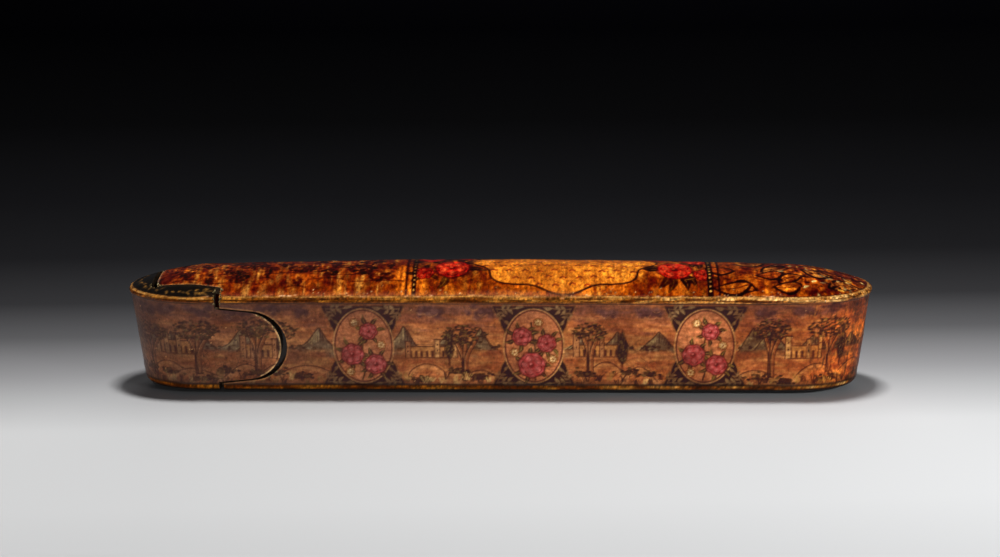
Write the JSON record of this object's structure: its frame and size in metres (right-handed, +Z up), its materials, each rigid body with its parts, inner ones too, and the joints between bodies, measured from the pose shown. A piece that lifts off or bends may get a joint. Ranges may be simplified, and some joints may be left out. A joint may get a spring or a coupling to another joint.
{
  "type": "qalamdan pen box",
  "caption": "Long round-ended lacquered pen box with a crowned top; a drawer with an interlocking lobed head slides from one end, holding an inkwell, reed pens and cutting tools.",
  "frame": {"origin": "on the resting plane, under the middle of the box", "axes": "+X along the box towards its closed end (the drawer pulls out towards -X), +Z up, -Y the side that faces the viewer in the picture"},
  "size_m": [0.23, 0.0366, 0.0376],
  "materials": {
    "painted_lacquer": "painted papier-mache under an aged, glossy varnish, with gilt rim bands",
    "red_lacquer": "plain dark red lacquered papier-mache",
    "brass": "worn, slightly tarnished",
    "silk": "ink-soaked raw silk",
    "reed": "polished brown reed",
    "horn": "polished dark horn",
    "steel": "ground steel",
    "bone": "yellowed bone"
  },
  "bodies": {
    "case": {"outer_case": "painted_lacquer"},
    "drawer": {"drawer_head": "painted_lacquer", "drawer_trough": "red_lacquer", "well_partition": "red_lacquer", "inkwell_cup": "brass", "inkwell_cover": "brass", "inkwell_collar": "brass", "lid_hinge_pin": "brass", "ink_wad": "silk", "reed_pen_fine": "reed", "reed_pen_medium": "reed", "reed_pen_broad": "reed", "knife_handle": "horn", "knife_ferrule": "brass", "knife_blade": "steel", "nib_plate": "bone"},
    "inkwell_lid": {"inkwell_lid": "brass", "lid_knob": "brass"}
  },
  "joints": [
    {"name": "drawer_slide", "type": "slide", "parent": "case", "child": "drawer", "axis": [-1, 0, 0], "range_m": [-0.0012, 0.185]},
    {"name": "inkwell_lid_hinge", "type": "hinge", "parent": "drawer", "child": "inkwell_lid", "pos_m": [-0.07837, 0, 0.0163], "axis": [0, 1, 0], "range_deg": [0, 105]}
  ]
}
